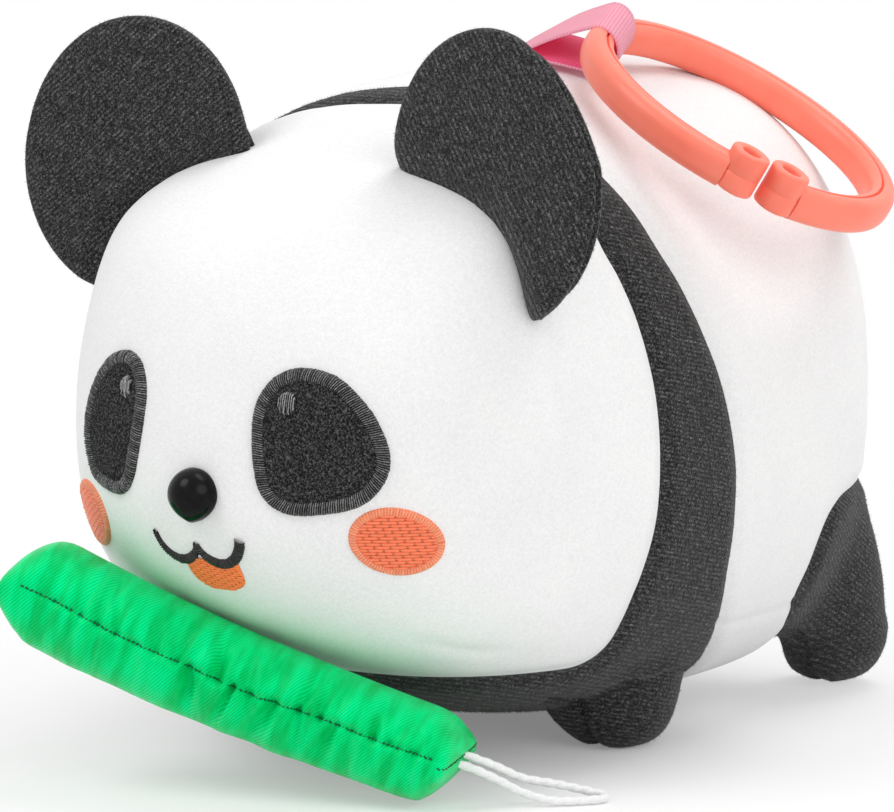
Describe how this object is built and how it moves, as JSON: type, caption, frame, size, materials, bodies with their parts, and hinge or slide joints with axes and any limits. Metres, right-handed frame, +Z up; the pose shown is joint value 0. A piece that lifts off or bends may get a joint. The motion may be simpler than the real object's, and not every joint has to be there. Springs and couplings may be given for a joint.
{
  "type": "plush panda with carry ring",
  "caption": "Loaf-shaped plush panda on stub legs, with an embroidered face, a ribbon and split ring on its back for hanging it, and a loose satin bamboo stalk with a cord loop.",
  "frame": {"origin": "centre of the base: the bottom middle of the box round the toy, on the floor it stands on", "axes": "+Z up, -Y the way the panda faces, +X its own left flank"},
  "size_m": [0.1442, 0.1902, 0.1461],
  "materials": {
    "white_plush": "short pile",
    "black_plush": "brushed knit",
    "black_felt": "felt",
    "black_thread": "satin stitch",
    "grey_thread": "satin stitch",
    "orange_thread": "satin stitch",
    "black_gloss": "polished",
    "clear_plastic": "moulded",
    "fibre_fill": "fibre filling",
    "pink_ribbon": "ribbed ribbon",
    "coral_plastic": "satin moulded",
    "green_satin": "satin",
    "white_cord": "twisted cord"
  },
  "bodies": {
    "panda": {"belly_panel": "white_plush", "body_stuffing": "fibre_fill", "cheek_left": "orange_thread", "cheek_right": "orange_thread", "chest_panel": "black_plush", "eye_border_left": "black_thread", "eye_border_right": "black_thread", "eye_highlight_left": "grey_thread", "eye_highlight_right": "grey_thread", "eye_patch_left": "black_felt", "eye_patch_right": "black_felt", "face_panel": "white_plush", "front_leg_left": "black_plush", "front_leg_right": "black_plush", "hind_leg_left": "black_plush", "hind_leg_right": "black_plush", "mouth_stitch": "black_thread", "neck_panel": "white_plush", "nose": "black_gloss", "nose_washer": "clear_plastic", "ribbon_tail": "pink_ribbon", "rump_panel": "white_plush", "shoulder_band": "black_plush", "tongue": "orange_thread"},
    "ear_left": {"ear_left": "black_plush"},
    "ear_right": {"ear_right": "black_plush"},
    "ribbon": {"back_ribbon": "pink_ribbon"},
    "ring": {"carry_ring": "coral_plastic"},
    "bamboo": {"bamboo_end_left": "green_satin", "bamboo_end_right": "green_satin", "bamboo_loop": "white_cord", "bamboo_stuffing": "fibre_fill", "bamboo_wrap": "green_satin"}
  },
  "joints": [
    {"name": "ear_flex_left", "type": "hinge", "parent": "panda", "child": "ear_left", "pos_m": [0.03038, -0.04298, 0.10952], "axis": [0.7754, 0, -0.6315], "range_deg": [-10, 10], "stiffness_Nm_per_rad": 0.05},
    {"name": "ear_flex_right", "type": "hinge", "parent": "panda", "child": "ear_right", "pos_m": [-0.03867, -0.04298, 0.10952], "axis": [0.7754, 0, 0.6315], "range_deg": [-10, 10], "stiffness_Nm_per_rad": 0.05},
    {"name": "ribbon_flop", "type": "hinge", "parent": "panda", "child": "ribbon", "pos_m": [-0.00415, 0.02452, 0.13604], "axis": [0, -1, 0], "range_deg": [0, 80]},
    {"name": "ring_swing", "type": "hinge", "parent": "ribbon", "child": "ring", "pos_m": [0.01735, 0.02452, 0.14023], "axis": [0.1728, -0.9813, -0.0844], "range_deg": [0, 85]},
    {"name": "bamboo_lift", "type": "slide", "parent": "panda", "child": "bamboo", "axis": [0, -0.8, 0.6], "range_m": [0, 0.12]}
  ]
}
